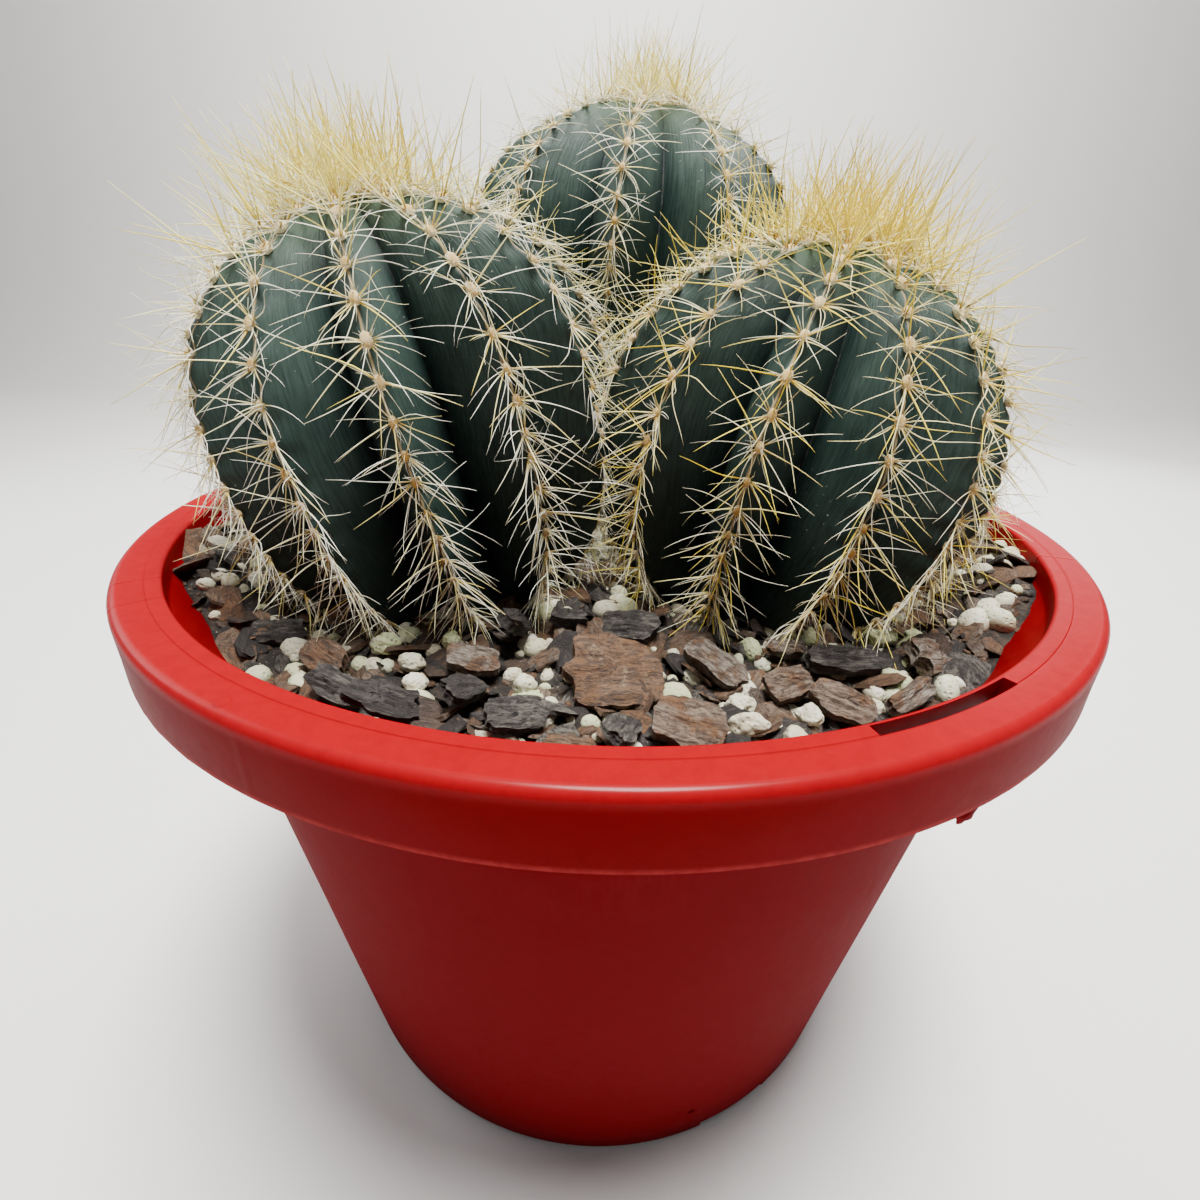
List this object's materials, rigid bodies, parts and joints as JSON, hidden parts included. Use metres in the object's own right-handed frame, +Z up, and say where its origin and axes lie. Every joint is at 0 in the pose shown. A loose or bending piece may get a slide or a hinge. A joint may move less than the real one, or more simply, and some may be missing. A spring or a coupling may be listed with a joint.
{
  "type": "potted round cactus",
  "caption": "Clustered, ribbed and spiny cactus globes in a wide tapered plastic pot of bark and pumice mix, on a flat underside.",
  "frame": {"origin": "centre of the pot's flat underside", "axes": "+Z up out of the pot, -Y the front (the two smaller globes), +X to the right seen from the front"},
  "size_m": [0.2004, 0.2154, 0.2481],
  "materials": {
    "red_plastic": "semi-gloss moulded plastic, matte and slightly dusty on the body",
    "potting_mix": "dark crumbly potting mix of bark fines and pumice",
    "cactus_skin": "dark blue-green living skin with a thin waxy bloom",
    "spines_and_wool": "straw to golden spines on cream wool",
    "brown_bark": "rough weathered bark, brown and grey",
    "dark_bark": "rough charred-looking bark, near black",
    "pumice": "porous off-white stone, some grains green with algae"
  },
  "bodies": {
    "root": {"pot": "red_plastic", "potting_mix": "potting_mix", "left_stem": "cactus_skin", "left_spines": "spines_and_wool", "right_stem": "cactus_skin", "right_spines": "spines_and_wool", "rear_stem": "cactus_skin", "rear_spines": "spines_and_wool", "twig_1": "brown_bark", "twig_2": "brown_bark", "bark_chip_01": "brown_bark", "bark_chip_02": "brown_bark", "bark_chip_03": "dark_bark", "bark_chip_04": "brown_bark", "bark_chip_05": "brown_bark", "bark_chip_06": "dark_bark", "bark_chip_07": "brown_bark", "bark_chip_08": "brown_bark", "bark_chip_09": "dark_bark", "bark_chip_10": "brown_bark", "bark_chip_11": "brown_bark", "bark_chip_12": "dark_bark", "bark_chip_13": "brown_bark", "bark_chip_14": "brown_bark", "bark_chip_15": "dark_bark", "bark_chip_16": "brown_bark", "bark_chip_17": "brown_bark", "bark_chip_18": "dark_bark", "bark_chip_19": "brown_bark", "bark_chip_20": "brown_bark", "bark_chip_21": "dark_bark", "bark_chip_22": "brown_bark", "bark_chip_23": "brown_bark", "bark_chip_24": "dark_bark", "bark_chip_25": "brown_bark", "bark_chip_26": "brown_bark", "bark_chip_27": "dark_bark", "bark_chip_28": "brown_bark", "bark_chip_29": "brown_bark", "bark_chip_30": "dark_bark", "bark_chip_31": "brown_bark", "pumice_01": "pumice", "pumice_02": "pumice", "pumice_03": "pumice", "pumice_04": "pumice", "pumice_05": "pumice", "pumice_06": "pumice", "pumice_07": "pumice", "pumice_08": "pumice", "pumice_09": "pumice", "pumice_10": "pumice", "pumice_11": "pumice", "pumice_12": "pumice", "pumice_13": "pumice", "pumice_14": "pumice", "pumice_15": "pumice", "pumice_16": "pumice", "pumice_17": "pumice", "pumice_18": "pumice"}
  },
  "joints": []
}
